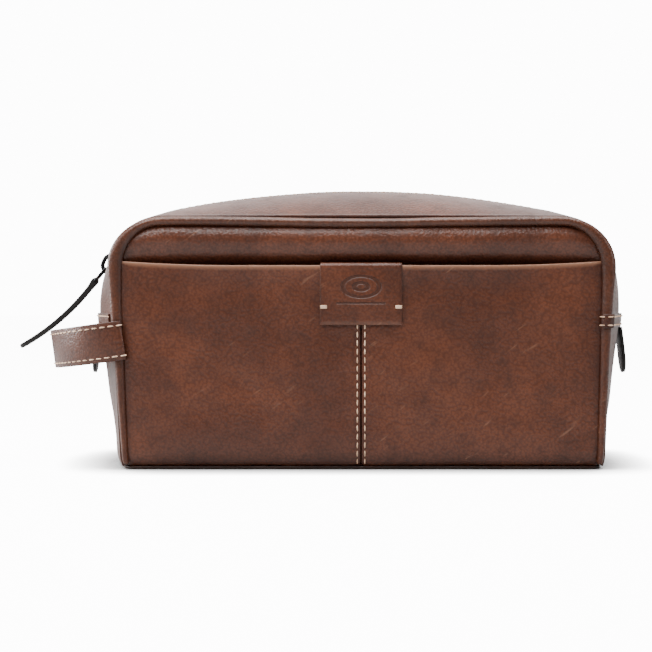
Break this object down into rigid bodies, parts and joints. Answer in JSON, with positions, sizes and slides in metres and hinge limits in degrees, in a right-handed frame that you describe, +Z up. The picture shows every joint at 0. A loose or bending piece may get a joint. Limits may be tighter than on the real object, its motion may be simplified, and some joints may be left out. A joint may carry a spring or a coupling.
{
  "type": "shaving kit bag",
  "caption": "Boxy leather wash bag with a domed zip gusset, a front slip pocket, a side carry loop and a leather zip pull.",
  "frame": {"origin": "centre of the base, on the surface that the bag stands on", "axes": "+X along the width, away from the carry loop; +Y from the pocket's side to the back; +Z up"},
  "size_m": [0.3434, 0.131, 0.1512],
  "materials": {
    "tan_leather": "pull-up leather, semi gloss",
    "base_leather": "pull-up leather, semi gloss",
    "black_leather": "smooth, semi gloss",
    "thread": "waxed thread",
    "lining_cloth": "woven",
    "zip_tape": "woven",
    "black_metal": "black nickel, satin",
    "foam": "matt",
    "board": "matt"
  },
  "bodies": {
    "bag": {"front_panel": "tan_leather", "back_panel": "tan_leather", "pocket_left": "tan_leather", "pocket_right": "tan_leather", "label": "tan_leather", "label_tacks": "thread", "pocket_stitches": "thread", "front_welt": "tan_leather", "back_welt": "tan_leather", "base_panel": "base_leather", "base_board": "board", "padding_front": "foam", "padding_back": "foam", "lining_front": "lining_cloth", "lining_back": "lining_cloth", "lining_left": "lining_cloth", "lining_right": "lining_cloth", "lining_base": "lining_cloth", "end_left": "tan_leather", "end_right": "tan_leather", "corner_front_left": "tan_leather", "corner_back_left": "tan_leather", "corner_front_right": "tan_leather", "corner_back_right": "tan_leather", "zip_tape_left": "zip_tape", "zip_tape_right": "zip_tape", "zip_teeth_left": "black_metal", "zip_teeth_right": "black_metal", "zip_stops": "black_metal", "end_band_left": "tan_leather", "end_band_right": "tan_leather", "band_stitches": "thread", "loop_roots": "tan_leather"},
    "mouth_front_side": {"mouth_front": "tan_leather", "zip_tape_front": "zip_tape", "zip_teeth_front": "black_metal"},
    "mouth_back_side": {"mouth_back": "tan_leather", "zip_tape_back": "zip_tape", "zip_teeth_back": "black_metal"},
    "zip_slider": {"slider": "black_metal"},
    "link": {"wire_link": "black_metal"},
    "pull": {"pull_strap": "black_leather"},
    "carry_loop": {"loop_outer": "tan_leather", "loop_inner": "tan_leather", "loop_stitches": "thread"},
    "tab_left": {"end_tab_left": "black_leather"},
    "tab_right": {"end_tab_right": "black_leather"}
  },
  "joints": [
    {"name": "slider_travel", "type": "hinge", "parent": "bag", "child": "zip_slider", "pos_m": [-0.0865, 0, 0.084], "axis": [0, 1, 0], "range_deg": [0, 45]},
    {"name": "link_swing", "type": "hinge", "parent": "zip_slider", "child": "link", "pos_m": [-0.14312, 0, 0.10827], "axis": [0, 1, 0], "range_deg": [0, 90]},
    {"name": "pull_swing", "type": "hinge", "parent": "link", "child": "pull", "pos_m": [-0.14922, 0, 0.10112], "axis": [0, 1, 0], "range_deg": [0, 50]},
    {"name": "loop_fold", "type": "hinge", "parent": "bag", "child": "carry_loop", "pos_m": [-0.14603, 0, 0.06653], "axis": [0, 1, 0], "range_deg": [-55, 0]},
    {"name": "tab_left_swing", "type": "hinge", "parent": "bag", "child": "tab_left", "pos_m": [-0.1466, 0, 0.0744], "axis": [0, 1, 0], "range_deg": [-12, 50]},
    {"name": "tab_right_swing", "type": "hinge", "parent": "bag", "child": "tab_right", "pos_m": [0.1466, 0, 0.0744], "axis": [0, -1, 0], "range_deg": [-12, 70]},
    {"name": "mouth_front_open", "type": "hinge", "parent": "bag", "child": "mouth_front_side", "pos_m": [0, -0.0549, 0.1356], "axis": [1, 0, 0], "range_deg": [0, 95]},
    {"name": "mouth_back_open", "type": "hinge", "parent": "bag", "child": "mouth_back_side", "pos_m": [0, 0.0549, 0.1356], "axis": [-1, 0, 0], "range_deg": [0, 95]}
  ]
}
